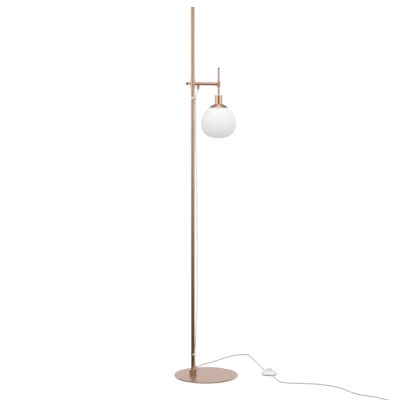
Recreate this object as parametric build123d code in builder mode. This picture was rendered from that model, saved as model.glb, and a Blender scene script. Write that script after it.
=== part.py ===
"""Floor lamp: a thin round base, a slim two-piece pole, a height-adjustable side arm with an opal
glass globe hanging from it, and a clear mains cord with a round foot switch, a coil and a plug.

Millimetres, +Z up. The origin is the centre of the base's underside, +X runs along the arm.
"""

import os
from math import acos, cos, pi, radians, sin, tan

from build123d import *

os.makedirs("parts", exist_ok=True)

# ---------------------------------------------------------------- driving dimensions
overall_h = 1610.0  # floor to the top of the pole

base_d = 280.0
base_t = 5.5
pad_t = 1.0  # thin foam under the base
pad_inset = 4.0

pole_x = -60.0  # the pole stands beside the middle of the base
pole_d = 17.0
pole_wall = 1.2
seam_z = 828.0  # where the two halves of the pole meet
joiner_len = 90.0
joiner_wall = 1.8
pole_cap_h = 5.0
pole_cap_plug = 12.0

socket_d = 31.0
socket_h = 19.0
socket_floor = 6.0
base_screw_d = 8.0
base_screw_head_d = 15.6
base_screw_bite = 9.0  # how far the screw stands above the base
grub_d = 4.0

arm_z = 1283.0  # height of the arm's axis
arm_reach = 115.0  # pole axis to stem axis
arm_d = 15.0
arm_wall = 1.2
sleeve_d = 23.0
sleeve_h = 37.0
liner_wall = 0.9
liner_rim_w = 1.2
liner_rim_t = 0.8
liner_slit = 1.6
spigot_len = 14.0
spigot_screw_d = 6.0

knob_head_d = 15.0
knob_head_t = 5.5
knob_neck_d = 6.4
knob_neck_len = 2.6
knob_flare = 0.9  # how far the neck's flare is hollowed
knob_reach = 28.5  # pole axis to the knob's outer face
knob_gap = 0.5
thumb_screw_d = 5.0
thumb_tip_t = 1.2

gland_out = 24.0  # pole axis to the cord gland under the arm
gland_d = 13.5
gland_drop = 8.0
gland_neck_d = 9.0
grip_d = 11.0
grip_tip_d = 9.5
grip_h = 9.0
gland_hold = 1.5  # how far the cord reaches into the gland

stem_d = 9.0
stem_wall = 0.9
stem_up = 70.0  # stem top above the arm's axis
stem_cap_h = 4.0
stem_cap_plug = 8.0
collar_waist_d = 15.2
collar_rim_d = 16.6
collar_rim_h = 4.0
collar_up = 9.5
collar_down = 13.0
collar_boss_d = 12.2
collar_boss_len = 9.0
wire_way_d = 5.6

cup_drop = 48.0  # arm's axis down to the top of the lamp cup
cup_d = 34.0
cup_h = 38.0
cup_wall = 1.0
cup_top_t = 1.5
cup_edge_r = 1.6
stem_nut_flats = 14.0
stem_nut_h = 5.0

cap_rim_d = 80.0
cap_h = 13.5
cap_lip = 1.5
cap_wall = 0.8
cap_sag = 0.5  # how far the flare is hollowed
cap_flange_t = 1.0

holder_d = 27.0
holder_len = 40.0
holder_below = 14.0  # how far the holder reaches under the cup
holder_roof = 6.0
shell_wall = 0.8
screw_cap_d = 14.0  # the small screw cap of the bulb
screw_cap_len = 21.0

globe_d = 150.0
globe_up = 83.0  # semi-height over the widest place
globe_down = 61.5  # semi-height under it
globe_power = 2.3  # exponent of the flattened lower outline
globe_wall = 2.5
globe_mouth_d = 50.0
collar_ring_wall = 4.4
ring_flange_w = 2.6
ring_flange_t = 1.4
ring_depth = 9.0

bulb_d = 35.0
bulb_len = 86.0
bulb_neck_d = 13.0

cord_d = 5.0
clip_wall = 1.0
clip_h = 7.0
clip_loop_h = 12.0
clip_opening = 9.0
clip_upper_z = 1222.0
clip_upper_turn = 15.5  # degrees round the pole from +X
clip_lower_z = 95.0
clip_lower_turn = 65.5

switch_x = 260.0
switch_y = 105.0
switch_turn = -58.0  # the way the cord leaves it, degrees from +X
switch_d = 75.0
switch_foot_d = 66.0
switch_rim_z = 5.5
switch_top_z = 19.0
switch_top_d = 30.0
switch_wall = 2.0
button_d = 27.0
button_up = 7.0
button_flange_w = 1.6
button_flange_t = 1.6
spring_d = 14.0
spring_wire_d = 1.0
spring_turns = 5
nozzle_d = 8.0
nozzle_len = 9.0
nozzle_z = 4.3
switch_screw_d = 3.0
switch_screw_out = 24.0

coil_x = 940.0
coil_y = -235.0
coil_outer_r = 34.0
coil_pitch = 6.6
coil_layer = 5.6
coil_half_turns = 4  # in each layer
tie_w = 4.0
tie_t = 0.8

plug_w = 35.0
plug_t = 13.6
plug_len = 36.0
plug_back_w = 14.0
plug_nose_d = 9.0
plug_nose_len = 12.0
plug_pin_d = 4.0
plug_pin_len = 19.0
plug_pin_pitch = 18.6
plug_x = 884.0  # where the cord enters the plug's nose
plug_y = -292.0
plug_turn = 200.0  # the way the pins point, degrees from +X

inner_lead_d = 2.4
inner_lead_bend = 6.0

# Clearances
slide_fit = 0.05  # liner on the pole, radial
turn_fit = 0.08  # sleeve round the liner, radial
press_gap = 0.05  # what is pushed, screwed or glued together
seat_gap = 0.1  # what sits against a curved wall
cord_gap = 0.15  # round the cord in a clip, grip or nozzle
button_fit = 0.35
floor_gap = 0.2  # cord above the floor
edge_break = 0.4

# ---------------------------------------------------------------- places worked out from the sizes
plate_z = pad_t
plate_top = plate_z + base_t
socket_top = plate_top + socket_h
pole_foot = plate_top + socket_floor
pole_tube_top = overall_h - pole_cap_h
pole_r = pole_d / 2
pole_in_r = pole_r - pole_wall
stem_x = pole_x + arm_reach
stem_r = stem_d / 2
stem_in_r = stem_r - stem_wall
stem_top = arm_z + stem_up
liner_in_r = pole_r + slide_fit
liner_out_r = liner_in_r + liner_wall
sleeve_in_r = liner_out_r + turn_fit
sleeve_r = sleeve_d / 2
sleeve_low = arm_z - sleeve_h / 2
sleeve_top = arm_z + sleeve_h / 2
cup_top = arm_z - cup_drop
cup_low = cup_top - cup_h
cap_rim_z = cup_low - cap_h
holder_low = cup_low - holder_below
holder_top = holder_low + holder_len
cord_r = cord_d / 2
clip_reach = pole_r + slide_fit + clip_wall + cord_r + cord_gap  # pole axis to cord axis
globe_rise = globe_up * (1 - (cap_rim_d / 2 - cap_wall - 0.2) ** 2 / (globe_d / 2) ** 2) ** 0.5
globe_z = cap_rim_z - globe_rise  # height of the globe's widest place, its neck just inside the cap
mouth_r = globe_mouth_d / 2

pole_at = Plane((pole_x, 0, 0))
stem_at = Plane((stem_x, 0, 0))


def around(plane, angle):
    """The plane turned about its own normal by an angle in degrees."""
    return plane.rotated((0, 0, angle))


def bowed(start, end, sag):
    """An arc from start to end that bows out by sag to the left of the way it runs."""
    run = Vector(*end) - Vector(*start)
    middle = Vector(*start) + run / 2
    return ThreePointArc(start, middle + Vector(-run.Y, run.X) * (sag / run.length), end)


def upright(x, y, z):
    """An upright plane at a point: its X axis is the lamp's X, its Y axis points up."""
    return Plane(origin=(x, y, z), x_dir=(1, 0, 0), z_dir=(0, -1, 0))


def toward(x, y, z, direction):
    """A plane at a point whose normal points along a direction."""
    return Plane(origin=(x, y, z), z_dir=direction)


# ---------------------------------------------------------------- base
# A thin disc on a foam pad; one countersunk screw from below holds the pole's socket.
with BuildPart() as base_pad:
    with BuildSketch():
        Circle(base_d / 2 - pad_inset)
        with Locations((pole_x, 0)):
            Circle(base_screw_head_d / 2 + 2, mode=Mode.SUBTRACT)
    extrude(amount=pad_t)
base_pad.part.label = "base_pad"
export_step(base_pad.part, "parts/base_pad.step")

with BuildPart() as base_plate:
    with BuildSketch(Plane.XY.offset(plate_z)):
        Circle(base_d / 2)
    extrude(amount=base_t)
    fillet(base_plate.edges().filter_by(GeomType.CIRCLE).sort_by(Axis.Z)[-1], base_t / 5)
    chamfer(base_plate.edges().filter_by(GeomType.CIRCLE).sort_by(Axis.Z)[0], base_t / 10)
    with Locations(Plane((pole_x, 0, plate_z), z_dir=(0, 0, -1))):
        CounterSinkHole(base_screw_d / 2 + seat_gap, base_screw_head_d / 2 + seat_gap)
base_plate.part.label = "base_plate"
export_step(base_plate.part, "parts/base_plate.step")

with BuildPart() as base_screw:
    with BuildSketch(upright(pole_x, 0, 0)):
        with BuildLine():
            Polyline(
                (0, plate_z),
                (base_screw_head_d / 2, plate_z),
                (base_screw_d / 2, plate_z + (base_screw_head_d - base_screw_d) / 2),
                (base_screw_d / 2, plate_top + base_screw_bite),
                (0, plate_top + base_screw_bite),
                close=True,
            )
        make_face()
    revolve(axis=Axis((pole_x, 0, 0), (0, 0, 1)))
    with BuildSketch(pole_at.offset(plate_z)):
        RegularPolygon(base_screw_d / 3.2, 6)
    extrude(amount=base_t / 2.2, mode=Mode.SUBTRACT)
base_screw.part.label = "base_screw"
export_step(base_screw.part, "parts/base_screw.step")

# ---------------------------------------------------------------- pole
# The socket takes the lower tube and a grub screw at the back clamps it. A joiner tube lines up
# the two halves, and a plug closes the top.
grub_z = plate_top + socket_floor + (socket_h - socket_floor) / 2
grub_behind = toward(pole_x, socket_d / 2, grub_z, (0, 1, 0))

with BuildPart() as pole_socket:
    with BuildSketch(pole_at.offset(plate_top)):
        Circle(socket_d / 2)
    extrude(amount=socket_h)
    fillet(pole_socket.edges().sort_by(Axis.Z)[-1], edge_break * 2.5)
    with BuildSketch(pole_at.offset(pole_foot)):
        Circle(pole_r + press_gap)
    extrude(amount=socket_h, mode=Mode.SUBTRACT)
    with BuildSketch(pole_at.offset(plate_top)):
        Circle(base_screw_d / 2 + press_gap)
    extrude(amount=socket_floor, mode=Mode.SUBTRACT)
    with BuildSketch(grub_behind):
        Circle(grub_d / 2 + press_gap)
    extrude(amount=-socket_d / 2 + pole_r / 2, mode=Mode.SUBTRACT)
pole_socket.part.label = "pole_socket"
export_step(pole_socket.part, "parts/pole_socket.step")

with BuildPart() as socket_grub:
    with BuildSketch(grub_behind.offset(-edge_break)):
        Circle(grub_d / 2)
    extrude(amount=-(socket_d / 2 - edge_break - pole_r - seat_gap))
    with BuildSketch(grub_behind.offset(-edge_break)):
        RegularPolygon(grub_d / 4, 6)
    extrude(amount=-grub_d / 2, mode=Mode.SUBTRACT)
socket_grub.part.label = "socket_grub"
export_step(socket_grub.part, "parts/socket_grub.step")

for label, low, high in (
    ("pole_lower", pole_foot, seam_z),
    ("pole_upper", seam_z, pole_tube_top),
):
    with BuildPart() as pole_tube:
        with BuildSketch(pole_at.offset(low)):
            Circle(pole_r)
        extrude(amount=high - low)
        seam_edge = pole_tube.edges().sort_by(Axis.Z)[-1 if high == seam_z else 0]
        chamfer(seam_edge, edge_break)
        with BuildSketch(pole_at.offset(low)):
            Circle(pole_in_r)
        extrude(amount=high - low, mode=Mode.SUBTRACT)
    pole_tube.part.label = label
    export_step(pole_tube.part, f"parts/{label}.step")

with BuildPart() as pole_joiner:
    with BuildSketch(pole_at.offset(seam_z - joiner_len / 2)):
        Circle(pole_in_r - press_gap)
        Circle(pole_in_r - press_gap - joiner_wall, mode=Mode.SUBTRACT)
    extrude(amount=joiner_len)
pole_joiner.part.label = "pole_joiner"
export_step(pole_joiner.part, "parts/pole_joiner.step")

with BuildPart() as pole_end_cap:
    with BuildSketch(pole_at.offset(pole_tube_top)):
        Circle(pole_r)
    extrude(amount=pole_cap_h)
    fillet(pole_end_cap.edges().sort_by(Axis.Z)[-1], pole_cap_h / 5)
    with BuildSketch(pole_at.offset(pole_tube_top)):
        Circle(pole_in_r - press_gap)
    extrude(amount=-pole_cap_plug)
pole_end_cap.part.label = "pole_end_cap"
export_step(pole_end_cap.part, "parts/pole_end_cap.step")

# ---------------------------------------------------------------- clamp
# A slit liner slides on the pole and keeps its rims over and under the sleeve. The sleeve turns on
# it, until the thumb screw squeezes the liner onto the pole.
with BuildPart() as clamp_liner:
    with BuildSketch(pole_at.offset(sleeve_low - seat_gap - liner_rim_t)):
        Circle(liner_out_r)
    extrude(amount=sleeve_h + 2 * (seat_gap + liner_rim_t))
    for low in (sleeve_low - seat_gap - liner_rim_t, sleeve_top + seat_gap):
        with BuildSketch(pole_at.offset(low)):
            Circle(liner_out_r + liner_rim_w)
        extrude(amount=liner_rim_t)
    with BuildSketch(pole_at.offset(sleeve_low - sleeve_h)):
        Circle(liner_in_r)
    extrude(amount=3 * sleeve_h, mode=Mode.SUBTRACT)
    with BuildSketch(pole_at.offset(sleeve_low - sleeve_h)):
        with Locations((0, liner_out_r)):
            Rectangle(liner_slit, 2 * (liner_wall + liner_rim_w) + 1)
    extrude(amount=3 * sleeve_h, mode=Mode.SUBTRACT)
clamp_liner.part.label = "clamp_liner"
export_step(clamp_liner.part, "parts/clamp_liner.step")

thumb_axis = toward(pole_x, 0, arm_z, (-1, 0, 0))
arm_axis = toward(pole_x, 0, arm_z, (1, 0, 0))

with BuildPart() as clamp_sleeve:
    with BuildSketch(pole_at.offset(sleeve_low)):
        Circle(sleeve_r)
    extrude(amount=sleeve_h)
    chamfer(clamp_sleeve.edges().filter_by(GeomType.CIRCLE), edge_break)
    with BuildSketch(pole_at.offset(sleeve_low)):
        Circle(sleeve_in_r)
    extrude(amount=sleeve_h, mode=Mode.SUBTRACT)
    with BuildSketch(thumb_axis):
        Circle(thumb_screw_d / 2 + turn_fit)
    extrude(amount=sleeve_d, mode=Mode.SUBTRACT)
    with BuildSketch(arm_axis):
        Circle(spigot_screw_d / 2 + press_gap)
    extrude(amount=sleeve_d, mode=Mode.SUBTRACT)
clamp_sleeve.part.label = "clamp_sleeve"
export_step(clamp_sleeve.part, "parts/clamp_sleeve.step")

# The knob flares from a thin neck to a round head, and its screw carries a soft tip.
neck_start = sleeve_r + knob_gap
head_start = knob_reach - knob_head_t
thumb_screw_in = liner_out_r + seat_gap + thumb_tip_t

with BuildPart() as clamp_knob:
    with BuildSketch(upright(pole_x, 0, arm_z)):
        with BuildLine():
            Polyline(
                (-head_start, knob_head_d / 2 - 3 * edge_break),
                (-head_start, knob_head_d / 2 - edge_break),
                (-head_start - edge_break, knob_head_d / 2),
                (-knob_reach + 3 * edge_break, knob_head_d / 2),
            )
            bowed(
                (-knob_reach + 3 * edge_break, knob_head_d / 2),
                (-knob_reach, knob_head_d / 2 - 3 * edge_break),
                -edge_break * 0.8,
            )
            Polyline(
                (-knob_reach, knob_head_d / 2 - 3 * edge_break),
                (-knob_reach, 0),
                (-neck_start, 0),
                (-neck_start, knob_neck_d / 2),
                (-neck_start - knob_neck_len, knob_neck_d / 2),
            )
            bowed(
                (-neck_start - knob_neck_len, knob_neck_d / 2),
                (-head_start, knob_head_d / 2 - 3 * edge_break),
                knob_flare,
            )
        make_face()
    revolve(axis=Axis((pole_x, 0, arm_z), (1, 0, 0)))
    with BuildSketch(thumb_axis.offset(neck_start)):
        Circle(thumb_screw_d / 2 + press_gap)
    extrude(amount=(knob_reach - neck_start) * 0.6, mode=Mode.SUBTRACT)
clamp_knob.part.label = "clamp_knob"
export_step(clamp_knob.part, "parts/clamp_knob.step")

with BuildPart() as thumb_screw:
    with BuildSketch(thumb_axis.offset(thumb_screw_in)):
        Circle(thumb_screw_d / 2)
    extrude(amount=neck_start + (knob_reach - neck_start) * 0.55 - thumb_screw_in)
    chamfer(thumb_screw.edges().sort_by(Axis.X)[0], edge_break)
thumb_screw.part.label = "thumb_screw"
export_step(thumb_screw.part, "parts/thumb_screw.step")

with BuildPart() as thumb_tip:
    with BuildSketch(thumb_axis.offset(thumb_screw_in)):
        Circle(thumb_screw_d / 2 - edge_break)
    extrude(amount=-thumb_tip_t)
thumb_tip.part.label = "thumb_tip"
export_step(thumb_tip.part, "parts/thumb_tip.step")

# ---------------------------------------------------------------- arm and gland
# A short tube fitted between the sleeve and the stem's collar. A spigot screwed to the sleeve
# carries it. The gland hangs from a hole in its underside.
arm_in_r = arm_d / 2 - arm_wall
gland_x = pole_x + gland_out
gland_at = Plane((gland_x, 0, 0))
arm_low = arm_z - arm_d / 2
gland_low = arm_low - gland_drop
grip_low = gland_low - grip_h
gland_neck_top = arm_z - arm_d / 3
cord_top = gland_low + gland_hold

with BuildPart() as arm_tube:
    with BuildSketch(arm_axis):
        Circle(arm_d / 2)
        Circle(arm_in_r, mode=Mode.SUBTRACT)
    extrude(amount=arm_reach)
    with BuildSketch(pole_at.offset(arm_z - arm_d)):
        Circle(sleeve_r + seat_gap)
    extrude(amount=2 * arm_d, mode=Mode.SUBTRACT)
    with BuildSketch(stem_at.offset(arm_z - arm_d)):
        Circle(collar_waist_d / 2 + seat_gap)
    extrude(amount=2 * arm_d, mode=Mode.SUBTRACT)
    with BuildSketch(stem_at.offset(arm_z + collar_up - collar_rim_h - edge_break)):
        Circle(collar_rim_d / 2 + seat_gap)
    extrude(amount=arm_d, mode=Mode.SUBTRACT)
    with BuildSketch(gland_at.offset(arm_low - arm_wall)):
        Circle(gland_neck_d / 2 + press_gap)
    extrude(amount=arm_d / 2, mode=Mode.SUBTRACT)
arm_tube.part.label = "arm_tube"
export_step(arm_tube.part, "parts/arm_tube.step")

with BuildPart() as arm_spigot:
    with BuildSketch(arm_axis.offset(sleeve_in_r + seat_gap)):
        Circle(arm_in_r - press_gap)
    extrude(amount=sleeve_r - sleeve_in_r + spigot_len)
    with BuildSketch(pole_at.offset(arm_z - arm_d)):
        Circle(sleeve_r + seat_gap)
    extrude(amount=2 * arm_d, mode=Mode.SUBTRACT)
    with BuildSketch(arm_axis.offset(sleeve_in_r + seat_gap)):
        Circle(spigot_screw_d / 2)
    extrude(amount=spigot_len)
    with BuildSketch(gland_at.offset(arm_low - arm_wall)):
        Circle(gland_neck_d / 2 + 1)
    extrude(amount=2 * arm_d, mode=Mode.SUBTRACT)
arm_spigot.part.label = "arm_spigot"
export_step(arm_spigot.part, "parts/arm_spigot.step")

with BuildPart() as gland_body:
    with BuildSketch(gland_at.offset(gland_low)):
        Circle(gland_d / 2)
    extrude(amount=gland_drop + arm_d / 2)
    fillet(gland_body.edges().sort_by(Axis.Z)[0], edge_break)
    with BuildSketch(toward(pole_x, 0, arm_z, (1, 0, 0))):
        Circle(arm_d / 2 + seat_gap)
    extrude(amount=2 * gland_out, mode=Mode.SUBTRACT)
    with BuildSketch(gland_at.offset(gland_low + gland_drop / 2)):
        Circle(gland_neck_d / 2)
    extrude(amount=gland_neck_top - gland_low - gland_drop / 2)
    with BuildSketch(gland_at.offset(gland_low)):
        Circle(cord_r + cord_gap)
    extrude(amount=gland_neck_top - gland_low, mode=Mode.SUBTRACT)
gland_body.part.label = "gland_body"
export_step(gland_body.part, "parts/gland_body.step")

with BuildPart() as gland_grip:
    with BuildSketch(gland_at.offset(gland_low)):
        Circle(grip_d / 2)
    with BuildSketch(gland_at.offset(grip_low)):
        Circle(grip_tip_d / 2)
    loft()
    with BuildSketch(gland_at.offset(grip_low)):
        Circle(cord_r + cord_gap)
    extrude(amount=grip_h, mode=Mode.SUBTRACT)
gland_grip.part.label = "gland_grip"
export_step(gland_grip.part, "parts/gland_grip.step")

# ---------------------------------------------------------------- stem and collar
# The collar is a turned tee: a waisted barrel on the stem with a boss into the arm.
with BuildPart() as stem_collar:
    with BuildSketch(stem_at.offset(arm_z - collar_down)):
        Circle(collar_waist_d / 2)
    extrude(amount=collar_up + collar_down)
    for low in (arm_z - collar_down, arm_z + collar_up - collar_rim_h):
        with BuildSketch(stem_at.offset(low)):
            Circle(collar_rim_d / 2)
        extrude(amount=collar_rim_h)
    chamfer(stem_collar.edges().filter_by(GeomType.CIRCLE).group_by(Axis.Z)[0], edge_break)
    chamfer(stem_collar.edges().filter_by(GeomType.CIRCLE).group_by(Axis.Z)[-1], edge_break)
    with BuildSketch(toward(stem_x, 0, arm_z, (-1, 0, 0))):
        Circle(min(collar_boss_d / 2, arm_in_r - press_gap))
    extrude(amount=collar_waist_d / 2 + collar_boss_len)
    with BuildSketch(stem_at.offset(arm_z - collar_down)):
        Circle(stem_r + press_gap)
    extrude(amount=collar_up + collar_down, mode=Mode.SUBTRACT)
    with BuildSketch(toward(stem_x, 0, arm_z, (-1, 0, 0))):
        Circle(wire_way_d / 2)
    extrude(amount=collar_waist_d / 2 + collar_boss_len, mode=Mode.SUBTRACT)
    with BuildSketch(toward(stem_x, 0, arm_z, (1, 0, 0))):
        Circle(grub_d / 2 + press_gap)
    extrude(amount=collar_rim_d, mode=Mode.SUBTRACT)
stem_collar.part.label = "stem_collar"
export_step(stem_collar.part, "parts/stem_collar.step")

with BuildPart() as collar_grub:
    with BuildSketch(toward(stem_x + stem_r + seat_gap, 0, arm_z, (1, 0, 0))):
        Circle(grub_d / 2)
    extrude(amount=collar_waist_d / 2 - edge_break - stem_r - seat_gap)
collar_grub.part.label = "collar_grub"
export_step(collar_grub.part, "parts/collar_grub.step")

stem_foot = holder_top - holder_roof / 2
with BuildPart() as stem_tube:
    with BuildSketch(stem_at.offset(stem_foot)):
        Circle(stem_r)
        Circle(stem_in_r, mode=Mode.SUBTRACT)
    extrude(amount=stem_top - stem_cap_h - stem_foot)
    with BuildSketch(toward(stem_x, 0, arm_z, (-1, 0, 0))):
        Circle(wire_way_d / 2)
    extrude(amount=stem_d, mode=Mode.SUBTRACT)
stem_tube.part.label = "stem_tube"
export_step(stem_tube.part, "parts/stem_tube.step")

with BuildPart() as stem_end_cap:
    with BuildSketch(stem_at.offset(stem_top - stem_cap_h)):
        Circle(stem_r)
    extrude(amount=stem_cap_h)
    fillet(stem_end_cap.edges().sort_by(Axis.Z)[-1], stem_cap_h / 5)
    with BuildSketch(stem_at.offset(stem_top - stem_cap_h)):
        Circle(stem_in_r - press_gap)
    extrude(amount=-stem_cap_plug)
stem_end_cap.part.label = "stem_end_cap"
export_step(stem_end_cap.part, "parts/stem_end_cap.step")

# ---------------------------------------------------------------- lamp cup, cap and holder
with BuildPart() as lamp_cup:
    with BuildSketch(stem_at.offset(cup_low)):
        Circle(cup_d / 2)
    extrude(amount=cup_h)
    fillet(lamp_cup.edges().sort_by(Axis.Z)[-1], cup_edge_r)
    with BuildSketch(stem_at.offset(cup_low)):
        Circle(cup_d / 2 - cup_wall)
    extrude(amount=cup_h - cup_top_t, mode=Mode.SUBTRACT)
    with BuildSketch(stem_at.offset(cup_low)):
        Circle(stem_r + press_gap)
    extrude(amount=cup_h, mode=Mode.SUBTRACT)
lamp_cup.part.label = "lamp_cup"
export_step(lamp_cup.part, "parts/lamp_cup.step")

with BuildPart() as stem_nut:
    with BuildSketch(stem_at.offset(cup_top - cup_top_t - stem_nut_h)):
        RegularPolygon(stem_nut_flats / 2, 6, major_radius=False)
        Circle(stem_r + press_gap, mode=Mode.SUBTRACT)
    extrude(amount=stem_nut_h)
stem_nut.part.label = "stem_nut"
export_step(stem_nut.part, "parts/stem_nut.step")

# The cap is spun from sheet: a flat flange under the cup, a hollowed flare and a straight lip.
cap_top_r = cup_d / 2 + cap_wall
cap_shoulder_z = cap_rim_z + cap_lip
cap_in_r = cap_rim_d / 2 - cap_wall
with BuildPart() as shade_cap:
    with BuildSketch(upright(stem_x, 0, 0)):
        with BuildLine():
            bowed((cap_top_r, cup_low), (cap_rim_d / 2, cap_shoulder_z), -cap_sag)
            Polyline(
                (cap_rim_d / 2, cap_shoulder_z),
                (cap_rim_d / 2, cap_rim_z),
                (cap_in_r, cap_rim_z),
                (cap_in_r, cap_shoulder_z - cap_wall / 3),
            )
            bowed(
                (cap_in_r, cap_shoulder_z - cap_wall / 3),
                (cap_top_r - cap_wall, cup_low - cap_flange_t),
                cap_sag,
            )
            Polyline(
                (cap_top_r - cap_wall, cup_low - cap_flange_t),
                (holder_d / 2 + cap_wall, cup_low - cap_flange_t),
                (holder_d / 2 + cap_wall, cup_low),
                (cap_top_r, cup_low),
            )
        make_face()
    revolve(axis=Axis((stem_x, 0, 0), (0, 0, 1)))
shade_cap.part.label = "shade_cap"
export_step(shade_cap.part, "parts/shade_cap.step")

screw_cap_r = screw_cap_d / 2
shell_r = screw_cap_r + 2 * seat_gap + shell_wall
shell_top = holder_top - holder_roof - 2 * holder_roof
with BuildPart() as holder_body:
    with BuildSketch(stem_at.offset(holder_low)):
        Circle(holder_d / 2)
    extrude(amount=holder_len)
    fillet(holder_body.edges().sort_by(Axis.Z)[-1], edge_break * 4)
    with BuildSketch(stem_at.offset(holder_low)):
        Circle(shell_r + press_gap)
    extrude(amount=holder_len - 3 * holder_roof, mode=Mode.SUBTRACT)
    with BuildSketch(stem_at.offset(stem_foot)):
        Circle(stem_r + press_gap)
    extrude(amount=holder_roof, mode=Mode.SUBTRACT)
    with BuildSketch(stem_at.offset(shell_top)):
        Circle(inner_lead_d)
    extrude(amount=3 * holder_roof, mode=Mode.SUBTRACT)
holder_body.part.label = "holder_body"
export_step(holder_body.part, "parts/holder_body.step")

with BuildPart() as holder_shell:
    with BuildSketch(stem_at.offset(shell_top)):
        Circle(shell_r)
        Circle(shell_r - shell_wall, mode=Mode.SUBTRACT)
    extrude(amount=-screw_cap_len)
holder_shell.part.label = "holder_shell"
export_step(holder_shell.part, "parts/holder_shell.step")

contact_t = 1.0
with BuildPart() as holder_contact:
    with BuildSketch(stem_at.offset(shell_top)):
        Circle(shell_r - shell_wall - 1)
    extrude(amount=-contact_t)
holder_contact.part.label = "holder_contact"
export_step(holder_contact.part, "parts/holder_contact.step")

# The ring under the cap has an outside thread for the globe's own ring.
ring_out_r = mouth_r - press_gap
ring_in_r = ring_out_r - collar_ring_wall
mouth_z = globe_z + globe_up * (1 - ((mouth_r + globe_wall / 2) / (globe_d / 2)) ** 2) ** 0.5
ring_low = mouth_z - ring_depth
boss_top = cup_low - cap_flange_t
boss_step = mouth_z + 2.5
with BuildPart() as gallery_boss:
    with BuildSketch(stem_at.offset(ring_low)):
        Circle(ring_in_r - turn_fit)
    extrude(amount=boss_step - ring_low)
    with BuildSketch(stem_at.offset(boss_step)):
        Circle(cup_d / 2 - cup_wall)
    extrude(amount=boss_top - boss_step)
    with BuildSketch(stem_at.offset(ring_low)):
        Circle(holder_d / 2 + seat_gap)
    extrude(amount=boss_top - ring_low, mode=Mode.SUBTRACT)
gallery_boss.part.label = "gallery_boss"
export_step(gallery_boss.part, "parts/gallery_boss.step")

# ---------------------------------------------------------------- globe and bulb
# Outline: half an ellipse above the widest place, a flattened superellipse below it.
outline_steps = 14


def globe_above(r, inset):
    """Height on the upper outline at radius r, for the outline drawn in by inset."""
    return globe_z + (globe_up - inset) * (1 - (r / (globe_d / 2 - inset)) ** 2) ** 0.5


def globe_outline(inset, mouth):
    """Points from the bottom of the globe to its mouth, whose edge lies at radius mouth."""
    wide = globe_d / 2 - inset
    top_angle = acos(mouth / wide)
    points = []
    for k in range(outline_steps):
        angle = k / outline_steps * pi / 2
        x = wide * sin(angle) ** (2 / globe_power)
        points.append((x, globe_z - (globe_down - inset) * cos(angle) ** (2 / globe_power)))
    for k in range(outline_steps + 1):
        angle = k / outline_steps * top_angle
        points.append((wide * cos(angle), globe_z + (globe_up - inset) * sin(angle)))
    return points


glass_out = globe_outline(0, mouth_r + globe_wall / 2)
glass_in = globe_outline(globe_wall, mouth_r)
with BuildPart() as glass_globe:
    with BuildSketch(upright(stem_x, 0, 0)):
        with BuildLine():
            Spline(*glass_out)
            Polyline(glass_out[-1], (mouth_r, glass_out[-1][1]), glass_in[-1])
            Spline(*glass_in)
            Line(glass_in[0], glass_out[0])
        make_face()
    revolve(axis=Axis((stem_x, 0, 0), (0, 0, 1)))
glass_globe.part.label = "glass_globe"
export_step(glass_globe.part, "parts/glass_globe.step")

ring_flange_top = globe_above(ring_out_r + ring_flange_w, globe_wall) - seat_gap
with BuildPart() as globe_ring:
    with BuildSketch(stem_at.offset(ring_low)):
        Circle(ring_out_r)
    extrude(amount=mouth_z - ring_low)
    with BuildSketch(stem_at.offset(ring_flange_top)):
        Circle(ring_out_r + ring_flange_w)
    extrude(amount=-ring_flange_t)
    with BuildSketch(stem_at.offset(ring_low)):
        Circle(ring_in_r)
    extrude(amount=mouth_z - ring_low, mode=Mode.SUBTRACT)
globe_ring.part.label = "globe_ring"
export_step(globe_ring.part, "parts/globe_ring.step")

# A small candle bulb: screw cap in the holder, a tapering glass below.
bulb_top = shell_top - contact_t - seat_gap
glass_top = bulb_top - screw_cap_len
with BuildPart() as bulb_cap:
    with BuildSketch(stem_at.offset(glass_top)):
        Circle(screw_cap_r)
    extrude(amount=screw_cap_len)
    chamfer(bulb_cap.edges().sort_by(Axis.Z)[-1], screw_cap_r / 2.5)
bulb_cap.part.label = "bulb_cap"
export_step(bulb_cap.part, "parts/bulb_cap.step")

with BuildPart() as bulb_glass:
    with BuildSketch(upright(stem_x, 0, 0)):
        with BuildLine():
            Line((0, glass_top - bulb_len), (0, glass_top))
            Line((0, glass_top), (bulb_neck_d / 2, glass_top))
            Spline(
                (bulb_neck_d / 2, glass_top),
                (bulb_d * 0.4, glass_top - bulb_len * 0.22),
                (bulb_d / 2, glass_top - bulb_len * 0.42),
                (bulb_d * 0.36, glass_top - bulb_len * 0.78),
                (0, glass_top - bulb_len),
                tangents=((0.3, -1), (-1, 0)),
            )
        make_face()
    revolve(axis=Axis((stem_x, 0, 0), (0, 0, 1)))
bulb_glass.part.label = "bulb_glass"
export_step(bulb_glass.part, "parts/bulb_glass.step")

# ---------------------------------------------------------------- cord clips
# A springy C that snaps on the pole, with a loop for the cord on one side.


def on_pole(turn, z):
    """A plane on the pole's axis at height z, its X axis turned round the pole."""
    return around(pole_at.offset(z), turn)


for label, clip_z, clip_turn in (
    ("clip_upper", clip_upper_z, clip_upper_turn),
    ("clip_lower", clip_lower_z, clip_lower_turn),
):
    with BuildPart() as clip:
        with BuildSketch(on_pole(clip_turn, clip_z - clip_h / 2)):
            Circle(pole_r + slide_fit + clip_wall)
        extrude(amount=clip_h)
        with BuildSketch(on_pole(clip_turn, clip_z + clip_h / 2 - clip_loop_h)):
            with Locations((clip_reach, 0)):
                Circle(cord_r + cord_gap + clip_wall)
        extrude(amount=clip_loop_h)
        with BuildSketch(on_pole(clip_turn, clip_z - clip_loop_h)):
            Circle(pole_r + slide_fit)
            with Locations((clip_reach, 0)):
                Circle(cord_r + cord_gap)
            with Locations((-pole_r - clip_wall, 0)):
                Rectangle(pole_r, clip_opening)
        extrude(amount=2 * clip_loop_h, mode=Mode.SUBTRACT)
    clip.part.label = label
    export_step(clip.part, f"parts/{label}.step")

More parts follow.
